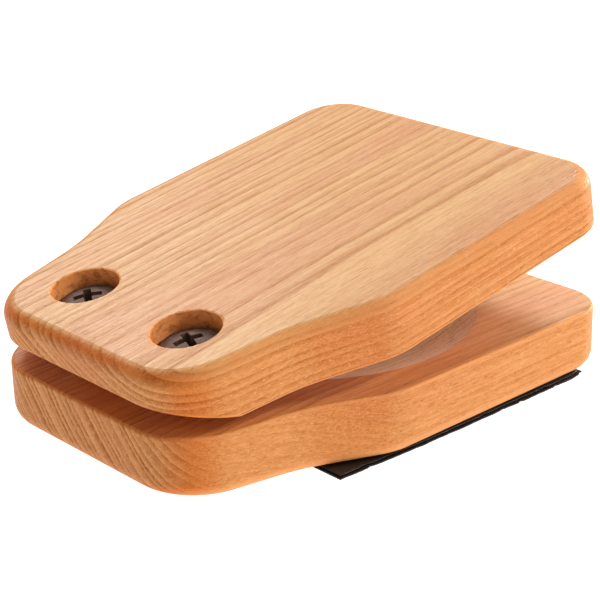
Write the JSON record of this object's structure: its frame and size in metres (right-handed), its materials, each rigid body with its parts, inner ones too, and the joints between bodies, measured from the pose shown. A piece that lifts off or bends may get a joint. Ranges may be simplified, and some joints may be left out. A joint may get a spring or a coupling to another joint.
{
  "type": "cajon castanet",
  "caption": "Sprung wooden castanet of hollowed paddle plates joined at the neck by recessed screws, with a hook tape below to stick it on a box drum.",
  "frame": {"origin": "middle of the hook tape's lower face, which is stuck on the drum", "axes": "+X from the neck to the wide end, +Y to the left seen from the neck, +Z away from the drum"},
  "size_m": [0.0796, 0.0616, 0.0325],
  "materials": {
    "plate_wood": "oiled, satin",
    "screw_steel": "blackened",
    "ring_rubber": "matte",
    "tape_hooks": "hook face down",
    "tape_glue": "clear adhesive film on the black tape"
  },
  "bodies": {
    "base": {"lower_plate": "plate_wood", "left_screw": "screw_steel", "right_screw": "screw_steel", "left_ring": "ring_rubber", "right_ring": "ring_rubber", "hook_tape": "tape_hooks", "tape_adhesive": "tape_glue"},
    "clapper": {"upper_plate": "plate_wood"}
  },
  "joints": [
    {"name": "clap_hinge", "type": "hinge", "parent": "base", "child": "clapper", "pos_m": [-0.0385, 0, 0.01507], "axis": [0, 1, 0], "range_deg": [0, 10.94], "stiffness_Nm_per_rad": 0.8, "springref_deg": -5.73, "deforming": ["left_ring", "right_ring"]}
  ]
}
